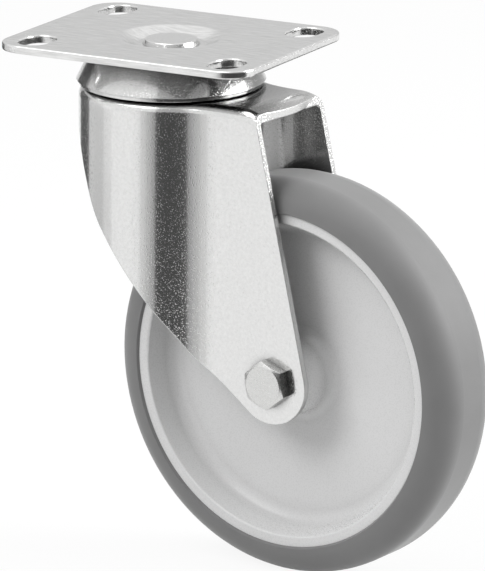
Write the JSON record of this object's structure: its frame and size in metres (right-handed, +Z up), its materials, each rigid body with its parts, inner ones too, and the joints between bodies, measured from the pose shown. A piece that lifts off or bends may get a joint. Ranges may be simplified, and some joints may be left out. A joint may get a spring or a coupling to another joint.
{
  "type": "swivel castor",
  "caption": "Swivel castor with a slotted top plate, a pressed steel fork on a double ball race and a plastic wheel with a grey rubber tyre.",
  "frame": {"origin": "where the swivel axis meets the upper face of the mounting plate", "axes": "+Z up along the swivel axis, out of the plate's mounting face; +X along the plate's long side, on the side that the wheel trails to; +Y along its short side, away from the bolt head"},
  "size_m": [0.1874, 0.085, 0.194],
  "materials": {
    "zinc_pressing": "bright zinc plated, satin",
    "zinc_turned": "bright zinc plated",
    "zinc_fastener": "bright zinc plated",
    "plain_tube": "drawn, zinc plated",
    "bearing_steel": "polished",
    "nylon": "natural",
    "wheel_plastic": "moulded, satin",
    "grey_rubber": "moulded, matte"
  },
  "bodies": {
    "plate": {"top_plate": "zinc_pressing", "kingpin": "zinc_turned", "swivel_ring": "zinc_pressing", "lower_race": "zinc_turned"},
    "upper_ball_row": {"upper_ball_01": "bearing_steel", "upper_ball_02": "bearing_steel", "upper_ball_03": "bearing_steel", "upper_ball_04": "bearing_steel", "upper_ball_05": "bearing_steel", "upper_ball_06": "bearing_steel", "upper_ball_07": "bearing_steel", "upper_ball_08": "bearing_steel", "upper_ball_09": "bearing_steel", "upper_ball_10": "bearing_steel", "upper_ball_11": "bearing_steel", "upper_ball_12": "bearing_steel", "upper_ball_13": "bearing_steel", "upper_ball_14": "bearing_steel", "upper_ball_15": "bearing_steel", "upper_ball_16": "bearing_steel", "upper_ball_17": "bearing_steel", "upper_ball_18": "bearing_steel", "upper_ball_19": "bearing_steel"},
    "lower_ball_row": {"lower_ball_01": "bearing_steel", "lower_ball_02": "bearing_steel", "lower_ball_03": "bearing_steel", "lower_ball_04": "bearing_steel", "lower_ball_05": "bearing_steel", "lower_ball_06": "bearing_steel", "lower_ball_07": "bearing_steel", "lower_ball_08": "bearing_steel", "lower_ball_09": "bearing_steel", "lower_ball_10": "bearing_steel", "lower_ball_11": "bearing_steel", "lower_ball_12": "bearing_steel", "lower_ball_13": "bearing_steel", "lower_ball_14": "bearing_steel", "lower_ball_15": "bearing_steel", "lower_ball_16": "bearing_steel"},
    "fork": {"fork": "zinc_pressing", "axle_bolt": "zinc_fastener", "axle_nut": "zinc_fastener", "nut_insert": "nylon", "axle_tube": "plain_tube"},
    "wheel": {"wheel_centre": "wheel_plastic", "tyre": "grey_rubber"}
  },
  "joints": [
    {"name": "swivel", "type": "hinge", "parent": "plate", "child": "fork", "pos_m": [0, 0, 0], "axis": [0, 0, 1], "continuous": true},
    {"name": "wheel_spin", "type": "hinge", "parent": "fork", "child": "wheel", "pos_m": [0.05961, -0.00679, -0.119], "axis": [0.1132, 0.9936, 0], "continuous": true},
    {"name": "upper_row_roll", "type": "hinge", "parent": "plate", "child": "upper_ball_row", "pos_m": [0, 0, -0.0096], "axis": [0, 0, 1], "continuous": true},
    {"name": "lower_row_roll", "type": "hinge", "parent": "plate", "child": "lower_ball_row", "pos_m": [0, 0, -0.0125], "axis": [0, 0, 1], "continuous": true}
  ],
  "couplings": [
    {"joint": "upper_row_roll", "follows": "swivel", "ratio": 0.45},
    {"joint": "lower_row_roll", "follows": "swivel", "ratio": 0.57}
  ]
}
